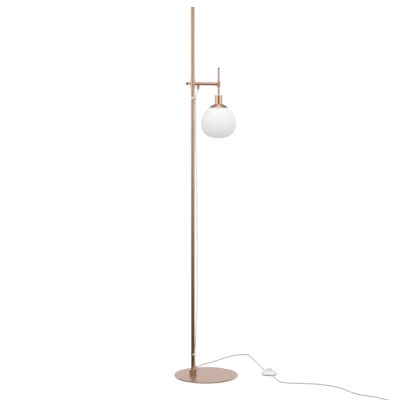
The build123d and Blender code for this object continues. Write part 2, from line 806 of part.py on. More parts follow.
# ---------------------------------------------------------------- cord
# Hand-laid routes, joined by arcs as large as each pair of runs allows.


def bend_radii(route):
    """For each inner point, 0.45 of the shorter run over the tangent of half the turn."""
    radii = []
    for before, here, after in zip(route, route[1:], route[2:]):
        run_in = Vector(*here) - Vector(*before)
        run_out = Vector(*after) - Vector(*here)
        half_turn = radians(run_in.get_angle(run_out)) / 2
        radii.append(0.45 * min(run_in.length, run_out.length) / tan(half_turn))
    return radii


def cord_tube(label, route, diameter=cord_d):
    """One stretch of cord along a route, written under its label."""
    radii = bend_radii(route)
    with BuildPart() as tube:
        with BuildLine() as path:
            FilletPolyline(*route, radius=radii)
        with BuildSketch(path.wire() ^ 0):
            Circle(diameter / 2)
        sweep()
    tube.part.label = label
    export_step(tube.part, f"parts/{label}.step")
    length = path.wire().length
    filled = tube.part.volume / (length * pi * diameter**2 / 4)
    print(f"{label}: length {length:.1f}, volume share {filled:.4f}")
    print("  radii", " ".join(f"{r:.0f}" for r in radii))
    return tube


lay_z = cord_r + floor_gap
cord_join_z = clip_upper_z - clip_loop_h / 4  # where the link and the drop meet in the clip
cord_part_z = clip_lower_z - clip_loop_h / 4
clip_up = on_pole(clip_upper_turn, clip_upper_z).from_local_coords((clip_reach, 0, 0))
clip_down = on_pole(clip_lower_turn, clip_lower_z).from_local_coords((clip_reach, 0, 0))

# From the gland to the upper clip, an S bend across the gap
cord_link_route = [
    (gland_x, 0, cord_top),
    (gland_x, 0, 1250.5),
    (clip_up.X, clip_up.Y, 1234.5),
    (clip_up.X, clip_up.Y, cord_join_z),
]
cord_tube("cord_link", cord_link_route)

# Down the pole: close to it at the top, bowing out a little above the lower clip
cord_drop_route = [
    (clip_up.X, clip_up.Y, cord_join_z),
    (clip_up.X, clip_up.Y, 1190),
    (-48.7, 4.3, 1145),
    (-48.0, 3.0, 1060),
    (-45.2, 4.9, 945),
    (-43.6, 3.9, 790),
    (-42.4, 5.6, 610),
    (-41.1, 4.6, 440),
    (-41.2, 5.8, 340),
    (-43.9, 4.6, 270),
    (-47.2, 3.7, 203),
    (-49.0, 5.8, 150),
    (-52.6, 9.0, 121),
    (clip_down.X, clip_down.Y, 103),
    (clip_down.X, clip_down.Y, cord_part_z),
]
cord_tube("cord_drop", cord_drop_route)

# Behind the pole to the floor, then in a wide loop to the switch
switch_way = Vector(cos(radians(switch_turn)), sin(radians(switch_turn)), 0)
nozzle_reach = switch_d / 2 + nozzle_len
nozzle_in = Vector(switch_x, switch_y, nozzle_z) - switch_way * nozzle_reach
nozzle_out = Vector(switch_x, switch_y, nozzle_z) + switch_way * nozzle_reach
before_nozzle = nozzle_in - switch_way * 20
after_nozzle = nozzle_out + switch_way * 18
cord_floor_route = [
    (clip_down.X, clip_down.Y, cord_part_z),
    (clip_down.X, clip_down.Y, 82.5),
    (-56.0, 15.0, 66.5),
    (-58.2, 24.5, 48),
    (-61.5, 40, 32),
    (-65.5, 60, 21),
    (-70, 84, 15),
    (-74.3, 114, 12.8),
    (-76.5, 144, 9),
    (-74.5, 170, lay_z),
    (-68, 192, lay_z),
    (-56.5, 215, lay_z),
    (-44, 243, lay_z),
    (-30, 273, lay_z),
    (-14, 319, lay_z),
    (4, 365, lay_z),
    (24, 402, lay_z),
    (50, 427, lay_z),
    (76, 431, lay_z),
    (97, 414, lay_z),
    (114, 380, lay_z),
    (131, 344, lay_z),
    (156, 298, lay_z),
    (184, 240, lay_z),
    (207, 195, lay_z + 0.8),
    (before_nozzle.X, before_nozzle.Y, nozzle_z),
    (nozzle_in.X, nozzle_in.Y, nozzle_z),
]
cord_tube("cord_floor", cord_floor_route)

# From the switch in a long lazy curve to the coil
coil_low_z = cord_r + floor_gap + tie_t + seat_gap
cord_tail_route = [
    (nozzle_out.X, nozzle_out.Y, nozzle_z),
    (after_nozzle.X, after_nozzle.Y, nozzle_z),
    (311, 17, lay_z),
    (329, -15, lay_z),
    (356, -34, lay_z),
    (391, -34, lay_z),
    (436, -26, lay_z),
    (483, -19, lay_z),
    (518, -20, lay_z),
    (548, -28, lay_z),
    (574, -39, lay_z),
    (600, -51, lay_z),
    (627, -71, lay_z),
    (652, -101, lay_z),
    (680, -128, lay_z),
    (719, -151, lay_z),
    (767, -160, lay_z),
    (800, -178, lay_z),
    (838, -203, lay_z),
    (880, -209, lay_z),
    (916, coil_y + coil_outer_r, coil_low_z),
    (coil_x - cord_d, coil_y + coil_outer_r, coil_low_z),
]
cord_tube("cord_tail", cord_tail_route)

# ---------------------------------------------------------------- coil, tie and plug
# Two flat layers: semicircles spiral in, one tilted semicircle climbs, and semicircles spiral out.
half_step = coil_pitch / 2
coil_high_z = coil_low_z + coil_layer
inward = [coil_outer_r - k * half_step for k in range(coil_half_turns + 1)]
inner_r = inward[-1]
outward = [inner_r + k * half_step for k in range(coil_half_turns + 1)]
crossings = []
for k, r in enumerate(inward + outward):
    side = 1 if k % 2 == 0 else -1
    level = coil_low_z if k <= coil_half_turns else coil_high_z
    crossings.append(Vector(coil_x, coil_y + side * r, level))

with BuildPart() as cord_coil:
    with BuildLine() as coil_path:
        Line(crossings[0] - Vector(cord_d, 0, 0), crossings[0])
        for k, (start, end) in enumerate(zip(crossings, crossings[1:])):
            bulge = Vector(1 if k % 2 == 0 else -1, 0, 0) * ((end - start).length / 2)
            ThreePointArc(start, (start + end) / 2 + bulge, end)
        coil_way = Vector(1 if len(crossings) % 2 == 1 else -1, 0, 0)
        Line(crossings[-1], crossings[-1] + coil_way * cord_d)
    with BuildSketch(coil_path.wire() ^ 0):
        Circle(cord_r)
    sweep()
cord_coil.part.label = "cord_coil"
export_step(cord_coil.part, "parts/cord_coil.step")
coil_wire = coil_path.wire()
coil_filled = cord_coil.part.volume / (coil_wire.length * pi * cord_r**2)
print(f"cord_coil: length {coil_wire.length:.1f}, volume share {coil_filled:.4f}")
coil_points = [coil_wire.position_at(k / 900) for k in range(901)]
skip = int(900 * 3 * cord_d / coil_wire.length)
least = min(
    (a - b).length
    for i, a in enumerate(coil_points)
    for b in coil_points[i + skip :]
)
print(f"cord_coil: least gap to itself {least - cord_d:.2f}")

# A strap round all the turns on the far side
tie_in = inner_r - cord_r - seat_gap
tie_out = coil_outer_r - half_step / 2 + cord_r + seat_gap
tie_low = coil_low_z - cord_r - seat_gap
tie_high = coil_high_z + cord_r + seat_gap
with BuildPart() as coil_tie:
    with BuildSketch(upright(coil_x, coil_y, 0).offset(-tie_w / 2)):
        with Locations(((tie_in + tie_out) / 2, (tie_low + tie_high) / 2)):
            Rectangle(tie_out - tie_in + 2 * tie_t, tie_high - tie_low + 2 * tie_t)
            Rectangle(tie_out - tie_in, tie_high - tie_low, mode=Mode.SUBTRACT)
    extrude(amount=tie_w)
coil_tie.part.label = "coil_tie"
export_step(coil_tie.part, "parts/coil_tie.step")

# From the coil to the plug that lies beside it
plug_z = plug_t / 2 + floor_gap
plug_way = Vector(cos(radians(plug_turn)), sin(radians(plug_turn)), 0)
coil_end = crossings[-1] + coil_way * cord_d
cord_end_route = [
    (coil_end.X, coil_end.Y, coil_end.Z),
    (coil_end.X - 16, coil_end.Y, coil_end.Z),
    (plug_x - 14 * plug_way.X, plug_y - 14 * plug_way.Y, plug_z),
    (plug_x, plug_y, plug_z),
]
cord_tube("cord_end", cord_end_route)

plug_at = Plane(origin=(plug_x, plug_y, plug_z), x_dir=(plug_way.Y, -plug_way.X, 0), z_dir=plug_way)
with BuildPart() as plug_body:
    with BuildSketch(plug_at):
        Circle(plug_nose_d / 2 - 1)
    with BuildSketch(plug_at.offset(plug_nose_len)):
        Circle(plug_nose_d / 2)
    loft()
    with BuildSketch(plug_at.offset(plug_nose_len)):
        RectangleRounded(plug_back_w, plug_t - 2, 3)
    with BuildSketch(plug_at.offset(plug_nose_len + plug_len * 0.6)):
        RectangleRounded(plug_w, plug_t, 3)
    loft()
    with BuildSketch(plug_at.offset(plug_nose_len + plug_len * 0.6)):
        RectangleRounded(plug_w, plug_t, 3)
    extrude(amount=plug_len * 0.4)
    for side in (-1, 1):
        with BuildSketch(plug_at.offset(plug_nose_len + plug_len)):
            with Locations((side * plug_pin_pitch / 2, 0)):
                Circle(plug_pin_d / 2 + press_gap)
        extrude(amount=-plug_len / 3, mode=Mode.SUBTRACT)
plug_body.part.label = "plug_body"
export_step(plug_body.part, "parts/plug_body.step")

for label, side in (("plug_pin_left", -1), ("plug_pin_right", 1)):
    with BuildPart() as plug_pin:
        with BuildSketch(plug_at.offset(plug_nose_len + plug_len * 0.7)):
            with Locations((side * plug_pin_pitch / 2, 0)):
                Circle(plug_pin_d / 2)
        extrude(amount=plug_len * 0.3 + plug_pin_len)
        fillet(plug_pin.edges().group_by(SortBy.DISTANCE)[-1], 0.1)
    plug_pin.part.label = label
    export_step(plug_pin.part, f"parts/{label}.step")

# ---------------------------------------------------------------- foot switch
# A shallow drum with a cone on top, a round button that a spring pushes up, and two nozzles.
switch_at = around(Plane((switch_x, switch_y, 0)), switch_turn)
switch_floor_t = 2.4
switch_recess = switch_floor_t * 0.6
cone_drop = (switch_top_z - switch_rim_z) / (switch_d / 2 - switch_top_d / 2)
flange_r = button_d / 2 + button_flange_w
flange_top = switch_top_z - switch_wall - cone_drop * (flange_r - switch_top_d / 2) - 1.2
flange_top = min(flange_top, switch_top_z - switch_wall - 1.2)
button_low = flange_top - button_flange_t

with BuildPart() as switch_base:
    with BuildSketch(switch_at):
        Circle(switch_foot_d / 2)
    with BuildSketch(switch_at.offset(switch_rim_z)):
        Circle(switch_d / 2)
    loft()
    with BuildSketch(switch_at.offset(switch_floor_t)):
        Circle(switch_foot_d / 2 - switch_wall)
    extrude(amount=switch_rim_z, mode=Mode.SUBTRACT)
    for side in (-1, 1):
        with BuildSketch(switch_at.offset(switch_floor_t)):
            with Locations((0, side * switch_screw_out)):
                Circle(switch_screw_d)
        extrude(amount=switch_rim_z - switch_floor_t)
        with BuildSketch(switch_at):
            with Locations((0, side * switch_screw_out)):
                Circle(switch_screw_d / 2 + seat_gap)
        extrude(amount=switch_rim_z, mode=Mode.SUBTRACT)
        with BuildSketch(switch_at):
            with Locations((0, side * switch_screw_out)):
                Circle(switch_screw_d + seat_gap)
        extrude(amount=switch_recess, mode=Mode.SUBTRACT)
        nozzle_plane = Plane(
            origin=Vector(switch_x, switch_y, nozzle_z) + switch_way * (side * nozzle_reach),
            z_dir=switch_way * -side,
        )
        with BuildSketch(nozzle_plane):
            Circle(nozzle_d / 2 - 0.8)
        with BuildSketch(nozzle_plane.offset(nozzle_len + switch_wall)):
            Circle(nozzle_d / 2)
        loft()
switch_base.part.label = "switch_base"
export_step(switch_base.part, "parts/switch_base.step")

with BuildPart() as switch_cover:
    with BuildSketch(upright(switch_x, switch_y, 0)):
        with BuildLine():
            Polyline(
                (switch_d / 2, switch_rim_z),
                (switch_d / 2 - switch_wall * 1.6, switch_rim_z),
                (switch_top_d / 2 - 0.4, switch_top_z - switch_wall * 1.1),
                (button_d / 2 + button_fit, switch_top_z - switch_wall * 1.1),
                (button_d / 2 + button_fit, switch_top_z),
                (switch_top_d / 2, switch_top_z),
            )
            bowed(
                (switch_top_d / 2, switch_top_z),
                (switch_d / 2 - 0.5, switch_rim_z + 1.0),
                1.0,
            )
            Polyline(
                (switch_d / 2 - 0.5, switch_rim_z + 1.0),
                (switch_d / 2, switch_rim_z + 0.5),
                (switch_d / 2, switch_rim_z),
            )
        make_face()
    revolve(axis=Axis((switch_x, switch_y, 0), (0, 0, 1)))
    for side in (-1, 1):
        nozzle_root = Vector(switch_x, switch_y, nozzle_z) + switch_way * (side * nozzle_reach)
        with BuildSketch(Plane(origin=nozzle_root, z_dir=switch_way * -side)):
            Circle(nozzle_d / 2 + seat_gap)
        extrude(amount=nozzle_len + switch_wall + seat_gap, mode=Mode.SUBTRACT)
switch_cover.part.label = "switch_cover"
export_step(switch_cover.part, "parts/switch_cover.step")

with BuildPart() as switch_button:
    with BuildSketch(switch_at.offset(button_low)):
        Circle(button_d / 2)
    extrude(amount=switch_top_z + button_up - button_low)
    fillet(switch_button.edges().sort_by(Axis.Z)[-1], 1.2)
    with BuildSketch(switch_at.offset(button_low)):
        Circle(flange_r)
    extrude(amount=button_flange_t)
switch_button.part.label = "switch_button"
export_step(switch_button.part, "parts/switch_button.step")

# The spring's helix, between the floor of the switch and the button
spring_low = switch_floor_t + spring_wire_d / 2 + press_gap
spring_rise = button_low - spring_wire_d / 2 - press_gap - spring_low
with BuildPart() as switch_spring:
    with BuildLine(Plane((switch_x, switch_y, spring_low))) as spring_path:
        Helix(
            pitch=spring_rise / spring_turns,
            height=spring_rise,
            radius=(spring_d - spring_wire_d) / 2,
        )
    with BuildSketch(spring_path.wire() ^ 0):
        Circle(spring_wire_d / 2)
    sweep(is_frenet=True)
switch_spring.part.label = "switch_spring"
export_step(switch_spring.part, "parts/switch_spring.step")

for label, side in (("switch_screw_left", -1), ("switch_screw_right", 1)):
    with BuildPart() as switch_screw:
        with BuildSketch(switch_at.offset(edge_break)):
            with Locations((0, side * switch_screw_out)):
                Circle(switch_screw_d)
        extrude(amount=switch_recess - edge_break)
        with BuildSketch(switch_at.offset(edge_break)):
            with Locations((0, side * switch_screw_out)):
                Circle(switch_screw_d / 2)
        extrude(amount=switch_rim_z - edge_break - seat_gap)
    switch_screw.part.label = label
    export_step(switch_screw.part, f"parts/{label}.step")

# ---------------------------------------------------------------- wires inside
# A thin lead from the gland through arm, collar and stem to the holder
with BuildPart() as inner_lead:
    with BuildLine() as lead_path:
        FilletPolyline(
            (gland_x, 0, cord_top + seat_gap),
            (gland_x, 0, arm_z),
            (stem_x, 0, arm_z),
            (stem_x, 0, shell_top + seat_gap),
            radius=inner_lead_bend,
        )
    with BuildSketch(lead_path.wire() ^ 0):
        Circle(inner_lead_d / 2)
    sweep()
inner_lead.part.label = "inner_lead"
export_step(inner_lead.part, "parts/inner_lead.step")
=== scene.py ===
from math import atan2, cos, pi, radians, sin

import bpy
import numpy as np
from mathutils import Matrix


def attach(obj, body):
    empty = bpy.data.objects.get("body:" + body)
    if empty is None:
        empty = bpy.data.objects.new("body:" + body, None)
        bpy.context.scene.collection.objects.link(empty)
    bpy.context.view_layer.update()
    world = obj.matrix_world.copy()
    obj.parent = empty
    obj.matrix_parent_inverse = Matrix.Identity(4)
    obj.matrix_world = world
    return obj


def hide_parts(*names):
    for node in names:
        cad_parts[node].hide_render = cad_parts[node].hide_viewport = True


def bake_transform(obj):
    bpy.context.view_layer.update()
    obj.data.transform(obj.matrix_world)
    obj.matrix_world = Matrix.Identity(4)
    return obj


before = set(bpy.data.objects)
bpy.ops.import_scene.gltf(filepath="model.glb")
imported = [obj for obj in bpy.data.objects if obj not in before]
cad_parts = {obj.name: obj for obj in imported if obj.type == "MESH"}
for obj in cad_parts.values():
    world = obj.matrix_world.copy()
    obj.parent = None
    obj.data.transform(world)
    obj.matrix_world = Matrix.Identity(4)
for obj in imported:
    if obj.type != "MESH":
        bpy.data.objects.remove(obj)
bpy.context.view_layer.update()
node = {name: bpy.data.objects[name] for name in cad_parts}

# ---------------------------------------------------------------- camera
# The photographer's place: about 6.7 m from the pole at eye height, a little to the arm's side,
# with a long lens tilted slightly down.
POLE_X = -0.060
CAMERA_AT = (1.7775, -6.4227, 1.6696)
CAMERA_TILT, CAMERA_TURN = 0.132628, 0.274024
view = bpy.data.cameras.new("camera")
view.lens = 139.71
view.sensor_width = 36
view.clip_end = 60
camera = bpy.data.objects.new("camera", view)
camera.location = CAMERA_AT
camera.rotation_euler = (pi / 2 - CAMERA_TILT, 0, CAMERA_TURN)
bpy.context.collection.objects.link(camera)
bpy.context.scene.camera = camera
bpy.context.scene.view_settings.view_transform = "Standard"
toward_camera = np.array([CAMERA_AT[0] - POLE_X, CAMERA_AT[1], 0])
toward_camera /= np.linalg.norm(toward_camera)

# ---------------------------------------------------------------- cord
# Clear PVC mains cord, 5 mm thick: two white-insulated wires twisted inside a clear sleeve. It
# leaves the gland, is snapped into two clips on the pole and runs over the floor through the foot
# switch to a tied coil and the plug.
CORD_R = 0.0025
LAY = 0.0027  # height of the cord's middle where it lies on the floor
WIRES_TWIST = 230.0  # turn of the two wires, radians for each metre of cord


def spline_line(name, route):
    """Points along a quadratic NURBS line whose control points are the route, in metres."""
    curve = bpy.data.curves.new(name, "CURVE")
    curve.dimensions = "3D"
    curve.resolution_u = 10
    spline = curve.splines.new("NURBS")
    spline.points.add(len(route) - 1)
    spline.points.foreach_set("co", np.c_[route, np.ones(len(route))].ravel())
    spline.order_u = 3
    spline.use_endpoint_u = True
    holder = bpy.data.objects.new(name, curve)
    bpy.context.collection.objects.link(holder)
    line = bpy.data.meshes.new_from_object(holder)
    points = np.empty(len(line.vertices) * 3)
    line.vertices.foreach_get("co", points)
    bpy.data.objects.remove(holder)
    return points.reshape(-1, 3)


def surface(name, grid, material):
    """A mesh from a grid of points (rows along v, columns along u): each cell is one face, the last
    column joins the first, and the UV is the column share and the length along v."""
    rows, columns = grid.shape[:2]
    i, j = np.meshgrid(np.arange(rows - 1), np.arange(columns), indexing="ij")
    k = (j + 1) % columns
    here, above = i * columns, (i + 1) * columns
    faces = np.stack([here + j, here + k, above + k, above + j], -1)
    mesh = bpy.data.meshes.new(name)
    mesh.from_pydata(grid.reshape(-1, 3).tolist(), [], faces.reshape(-1, 4).tolist())
    along = np.r_[0, np.cumsum(np.linalg.norm(np.diff(grid[:, 0], axis=0), axis=1))]
    u = np.stack([j, j + 1, j + 1, j], -1) / columns
    v = along[np.stack([i, i, i + 1, i + 1], -1)]
    mesh.uv_layers.new(name="UVMap").data.foreach_set("uv", np.stack([u, v], -1).ravel())
    mesh.polygons.foreach_set("use_smooth", np.ones(len(mesh.polygons), bool))
    mesh.materials.append(material)
    piece = bpy.data.objects.new(name, mesh)
    bpy.context.collection.objects.link(piece)
    return piece


def tube(name, line, radius, material, sides=14):
    """A round tube: at each point of the line, a circle square to it; the circle's first direction
    is the cross of the tangent with an upright or level vector, whichever the line runs less along."""
    tangent = np.gradient(line, axis=0)
    tangent /= np.linalg.norm(tangent, axis=1)[:, None]
    steep = np.abs(tangent[:, 2])
    aside = np.cross(tangent, np.c_[steep, 0 * steep, 1 - steep])
    aside /= np.linalg.norm(aside, axis=1)[:, None]
    other = np.cross(tangent, aside)
    turn = np.linspace(0, 2 * pi, sides, endpoint=False)
    ring = aside[:, None] * np.cos(turn)[:, None] + other[:, None] * np.sin(turn)[:, None]
    radius = np.broadcast_to(radius, len(line))[:, None, None]
    return surface(name, line[:, None] + ring * radius, material)


def node_set(material):
    """The node tree of a material or world, a material's shader, and makers for nodes and links."""
    material.use_nodes = True
    tree = material.node_tree
    shader = tree.nodes.get("Principled BSDF")

    def add(kind, **values):
        made = tree.nodes.new(kind)
        for key, value in values.items():
            if key.startswith("in_"):
                made.inputs[int(key[3:])].default_value = value
            else:
                setattr(made, key, value)
        return made

    return tree, shader, add, tree.links.new


cord_skin = bpy.data.materials.new("clear_cord")
tree, shader, add, link = node_set(cord_skin)
shader.inputs["Roughness"].default_value = 0.22
shader.inputs["IOR"].default_value = 1.52
shader.inputs["Coat Weight"].default_value = 0.2
shader.inputs["Coat Roughness"].default_value = 0.2
shader.inputs["Subsurface Weight"].default_value = 0.25
shader.inputs["Subsurface Radius"].default_value = (0.6, 0.6, 0.6)
shader.inputs["Subsurface Scale"].default_value = 0.003
place = add("ShaderNodeTexCoord")
split = add("ShaderNodeSeparateXYZ")
link(place.outputs["UV"], split.inputs[0])
twist = add("ShaderNodeMath", operation="MULTIPLY_ADD", in_1=WIRES_TWIST)
around = add("ShaderNodeMath", operation="MULTIPLY", in_1=4 * pi)
link(split.outputs["X"], around.inputs[0])
link(split.outputs["Y"], twist.inputs[0])
link(around.outputs[0], twist.inputs[2])
wave = add("ShaderNodeMath", operation="SINE")
link(twist.outputs[0], wave.inputs[0])
tone = add("ShaderNodeValToRGB")
tone.color_ramp.elements[0].position = 0.15
tone.color_ramp.elements[0].color = (0.40, 0.396, 0.392, 1)
tone.color_ramp.elements[1].position = 0.62
tone.color_ramp.elements[1].color = (0.53, 0.526, 0.522, 1)
lift = add("ShaderNodeMapRange", in_1=-1.0, in_2=1.0)
link(wave.outputs[0], lift.inputs[0])
link(lift.outputs[0], tone.inputs[0])
# Painted light: from 0.02 to 0.2 m over the floor the colour is mixed up to 0.85 toward pale grey, for
# the light on the hanging cord; on the floor it keeps the darker tone.
height = add("ShaderNodeSeparateXYZ")
link(place.outputs["Object"], height.inputs[0])
hanging_light = add("ShaderNodeMapRange", in_1=0.02, in_2=0.20, in_4=0.85)
link(height.outputs["Z"], hanging_light.inputs[0])
painted_light_mix = add("ShaderNodeMix", data_type="RGBA")
painted_light_mix.inputs[7].default_value = (0.84, 0.84, 0.835, 1)
link(hanging_light.outputs[0], painted_light_mix.inputs[0])
link(tone.outputs[0], painted_light_mix.inputs[6])
link(painted_light_mix.outputs[2], shader.inputs["Base Color"])

# Places that the route passes, as in the solid model
GLAND_X = POLE_X + 0.024
CLIP_REACH = 0.0122
CLIP_UP_Z, CLIP_DOWN_Z = 1.219, 0.092
NOZZLE_REACH, NOZZLE_Z = 0.0465, 0.0043
clip_up = (POLE_X + CLIP_REACH * cos(radians(15.5)), CLIP_REACH * sin(radians(15.5)))
clip_down = (POLE_X + CLIP_REACH * cos(radians(65.5)), CLIP_REACH * sin(radians(65.5)))
SWITCH = np.array([0.260, 0.105])
switch_way = np.array([cos(radians(-58)), sin(radians(-58))])
nozzle_in = SWITCH - switch_way * NOZZLE_REACH
nozzle_out = SWITCH + switch_way * NOZZLE_REACH

link_line = spline_line("link_line", [
    (GLAND_X, 0, 1.2690), (GLAND_X, 0, 1.2505), (*clip_up, 1.2345), (*clip_up, CLIP_UP_Z),
])
cord_link = tube("cord_link_tube", link_line, CORD_R, cord_skin)
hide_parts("cord_link")
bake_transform(cord_link)

drop_line = spline_line("drop_line", [
    (*clip_up, CLIP_UP_Z), (*clip_up, 1.190), (-0.0487, 0.0043, 1.145), (-0.0480, 0.0030, 1.060),
    (-0.0452, 0.0049, 0.945), (-0.0436, 0.0039, 0.790), (-0.0424, 0.0056, 0.610),
    (-0.0411, 0.0046, 0.440), (-0.0412, 0.0058, 0.340), (-0.0439, 0.0046, 0.270),
    (-0.0472, 0.0037, 0.203), (-0.0490, 0.0058, 0.150), (-0.0526, 0.0090, 0.121),
    (*clip_down, 0.103), (*clip_down, CLIP_DOWN_Z),
])
cord_drop = tube("cord_drop_tube", drop_line, CORD_R, cord_skin)
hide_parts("cord_drop")
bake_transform(cord_drop)

floor_line = spline_line("floor_line", [
    (*clip_down, CLIP_DOWN_Z), (*clip_down, 0.0825), (-0.0560, 0.0150, 0.0665),
    (-0.0582, 0.0245, 0.048), (-0.0615, 0.040, 0.032), (-0.0655, 0.060, 0.021), (-0.0700, 0.084, 0.015),
    (-0.0743, 0.114, 0.0125), (-0.0765, 0.146, 0.0055), (-0.0750, 0.170, LAY),
    (-0.068, 0.192, LAY), (-0.0565, 0.215, LAY), (-0.044, 0.243, LAY), (-0.030, 0.273, LAY),
    (-0.014, 0.319, LAY), (0.004, 0.365, LAY), (0.024, 0.402, LAY), (0.050, 0.427, LAY),
    (0.076, 0.431, LAY), (0.097, 0.414, LAY), (0.114, 0.380, LAY), (0.131, 0.344, LAY),
    (0.156, 0.298, LAY), (0.184, 0.240, LAY), (0.207, 0.195, LAY + 0.0008),
    (*(nozzle_in - switch_way * 0.020), NOZZLE_Z), (*nozzle_in, NOZZLE_Z),
])
cord_floor = tube("cord_floor_tube", floor_line, CORD_R, cord_skin)
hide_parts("cord_floor")
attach(cord_floor, "stand")

# The coil: two flat layers of semicircles, spiralling in below and out above
COIL = np.array([0.940, -0.235])
COIL_LOW = 0.0036
COIL_R = 0.034


def coil_route(pitch=0.0066, layer=0.0056, crossings=10, steps=8):
    """Control points on semicircles between crossings: the crossings' radius falls half a pitch each
    time in the lower layer, one tilted semicircle climbs, and the radius grows back in the upper."""
    count = np.arange(crossings)
    low = COIL_R - np.arange(crossings // 2) * pitch / 2
    radii = np.r_[low, low[::-1]]
    side = np.where(count % 2 == 0, 1.0, -1.0)
    level = np.where(count < crossings // 2, COIL_LOW, COIL_LOW + layer)
    cross = np.c_[np.full(crossings, COIL[0]), COIL[1] + side * radii, level]
    start, end = cross[:-1], cross[1:]
    middle, half = (start + end) / 2, np.linalg.norm(end - start, axis=1) / 2
    angle = (np.arange(steps) + 0.5) / steps * pi
    grow = 1 / np.cos(pi / steps / 2)
    outward = side[:-1, None, None] * np.array([1.0, 0, 0]) * half[:, None, None]
    arcs = (middle[:, None] + (start - middle)[:, None] * (np.cos(angle) * grow)[:, None]
            + outward * (np.sin(angle) * grow)[:, None])
    return arcs.reshape(-1, 3), cross[-1]


coil_points, coil_last = coil_route()
PLUG = np.array([0.884, -0.292, 0.0070])
plug_way = np.array([cos(radians(200)), sin(radians(200)), 0])
tail_line = spline_line("tail_line", [
    (*nozzle_out, NOZZLE_Z), (*(nozzle_out + switch_way * 0.018), NOZZLE_Z),
    (0.311, 0.017, LAY), (0.329, -0.015, LAY), (0.356, -0.034, LAY), (0.391, -0.034, LAY),
    (0.436, -0.026, LAY), (0.483, -0.019, LAY), (0.518, -0.020, LAY), (0.548, -0.028, LAY),
    (0.574, -0.039, LAY), (0.600, -0.051, LAY), (0.627, -0.071, LAY), (0.652, -0.101, LAY),
    (0.680, -0.128, LAY), (0.719, -0.151, LAY), (0.767, -0.160, LAY), (0.800, -0.178, LAY),
    (0.838, -0.203, LAY), (0.880, -0.209, LAY), (0.916, COIL[1] + COIL_R, COIL_LOW),
    *coil_points.tolist(),
    (coil_last[0] - 0.021, coil_last[1], coil_last[2]),
    tuple(PLUG - plug_way * 0.014), tuple(PLUG),
])
cord_tail = tube("cord_tail_tube", tail_line, CORD_R, cord_skin)
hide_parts("cord_tail", "cord_coil", "cord_end")
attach(cord_tail, "stand")

# ---------------------------------------------------------------- plug and tie
# A flat moulded two-pin plug on the end of the cord, with a ribbed sleeve against bending, and a
# thin strap round the coil.


def noise(add, link, vector, scale, detail=2.0):
    """The factor of a noise read at a vector."""
    made = add("ShaderNodeTexNoise")
    made.inputs["Scale"].default_value = scale
    made.inputs["Detail"].default_value = detail
    link(vector, made.inputs["Vector"])
    return made.outputs["Fac"]


def mixed(add, link, factor, below, above):
    """A colour between two, each a plain colour or a node's output."""
    made = add("ShaderNodeMix", data_type="RGBA")
    link(factor, made.inputs[0])
    for socket, value in ((made.inputs[6], below), (made.inputs[7], above)):
        if isinstance(value, (tuple, list)):
            socket.default_value = (*value, 1)
        else:
            link(value, socket)
    return made.outputs[2]


def relief(add, link, shader, height, strength, distance):
    """A shallow bump on the shader's normal."""
    made = add("ShaderNodeBump")
    made.inputs["Strength"].default_value = strength
    made.inputs["Distance"].default_value = distance
    link(height, made.inputs["Height"])
    link(made.outputs[0], shader.inputs["Normal"])


def moulding(name, colour, roughness, grain=900.0, bump=0.06, coat=0.0, glow=0.0, foot=0.0):
    """Injection-moulded plastic: an even colour with slight clouding, and a fine spark-eroded grain.
    Glow is the share of scattered light. A foot height darkens the piece below it over the floor: a
    painted shadow under its edge."""
    material = bpy.data.materials.new(name)
    tree, shader, add, link = node_set(material)
    shader.inputs["Coat Weight"].default_value = coat
    shader.inputs["IOR"].default_value = 1.49
    shader.inputs["Subsurface Weight"].default_value = glow
    shader.inputs["Subsurface Radius"].default_value = (1.0, 0.9, 0.8)
    shader.inputs["Subsurface Scale"].default_value = 0.004
    place = add("ShaderNodeTexCoord").outputs["Object"]
    cloud = noise(add, link, place, 35.0, 4.0)
    tone = mixed(add, link, cloud, [c * 0.96 for c in colour], colour)
    # Painted shadow: under the foot height the colour falls to 0.26 of itself, for the shade beneath
    # the edge.
    if foot:
        height = add("ShaderNodeSeparateXYZ")
        painted_shadow = add("ShaderNodeMapRange", in_1=foot * 0.8, in_2=foot * 1.25)
        link(place, height.inputs[0])
        link(height.outputs["Z"], painted_shadow.inputs[0])
        tone = mixed(add, link, painted_shadow.outputs[0], [c * 0.26 for c in colour], tone)
    link(tone, shader.inputs["Base Color"])
    matt = add("ShaderNodeMapRange", in_3=roughness - 0.05, in_4=roughness + 0.06)
    link(cloud, matt.inputs[0])
    link(matt.outputs[0], shader.inputs["Roughness"])
    relief(add, link, shader, noise(add, link, place, grain), bump, 0.00002)
    return material


def dress(material, *names):
    """One material on every slot of the named solids."""
    for name in names:
        slots = node[name].data.materials
        if not len(slots):
            slots.append(material)
        for k in range(len(slots)):
            slots[k] = material


plug_skin = moulding("plug_plastic", (0.84, 0.84, 0.83), 0.30)
dress(plug_skin, "plug_body")
dress(moulding("tie", (0.80, 0.80, 0.79), 0.45), "coil_tie")
SLEEVE_STEPS, RIB_STEPS = 53, 8
relief_line = PLUG - plug_way * np.linspace(0.022, -0.004, SLEEVE_STEPS)[:, None]
raised = np.sin(np.arange(SLEEVE_STEPS) * 2 * pi / RIB_STEPS) > 0
ribs = 0.0029 + 0.0007 * np.linspace(0, 1, SLEEVE_STEPS) + 0.00035 * raised
plug_relief = tube("plug_relief", relief_line, ribs, plug_skin, 24)
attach(plug_relief, "stand")


